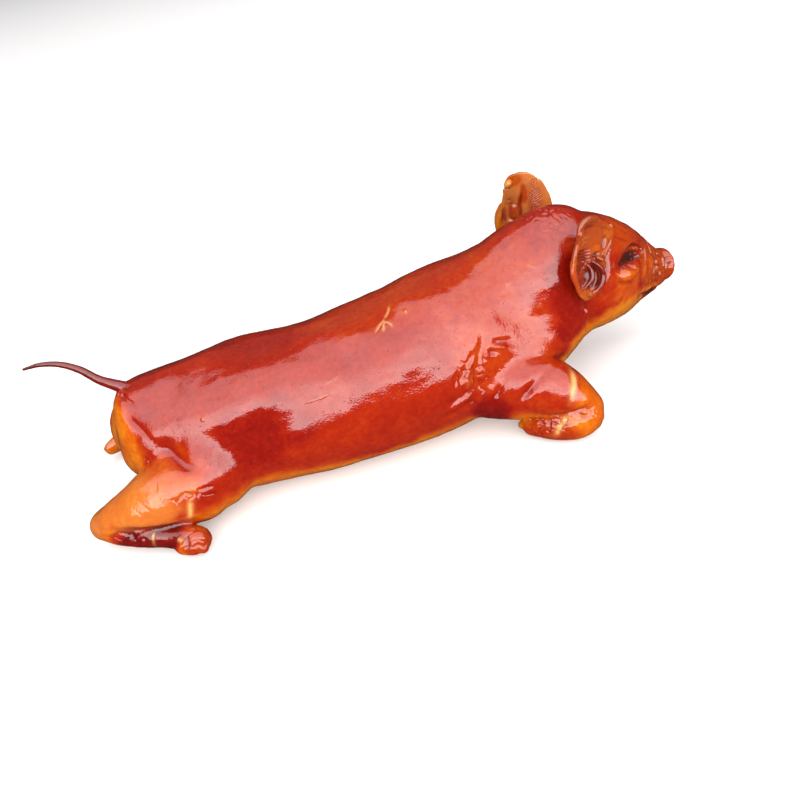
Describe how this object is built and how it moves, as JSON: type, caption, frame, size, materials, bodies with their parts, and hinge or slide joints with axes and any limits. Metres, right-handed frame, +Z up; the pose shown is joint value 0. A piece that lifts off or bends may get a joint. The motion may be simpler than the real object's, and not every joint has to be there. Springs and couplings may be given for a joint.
{
  "type": "roast suckling pig",
  "caption": "Whole roast suckling pig with a glossy glazed skin, lying on its belly with its legs folded under it, its ears up and its thin tail out behind.",
  "frame": {"origin": "on the surface that the pig rests on, under the middle of its box", "axes": "+X towards the head, +Y to the pig's left, +Z up"},
  "size_m": [0.5766, 0.2348, 0.1746],
  "materials": {
    "glazed_skin": "glossy red-brown glazed roast skin, orange to gold at the belly, legs, ears and jaw"
  },
  "bodies": {
    "root": {"suckling_pig": "glazed_skin"}
  },
  "joints": []
}
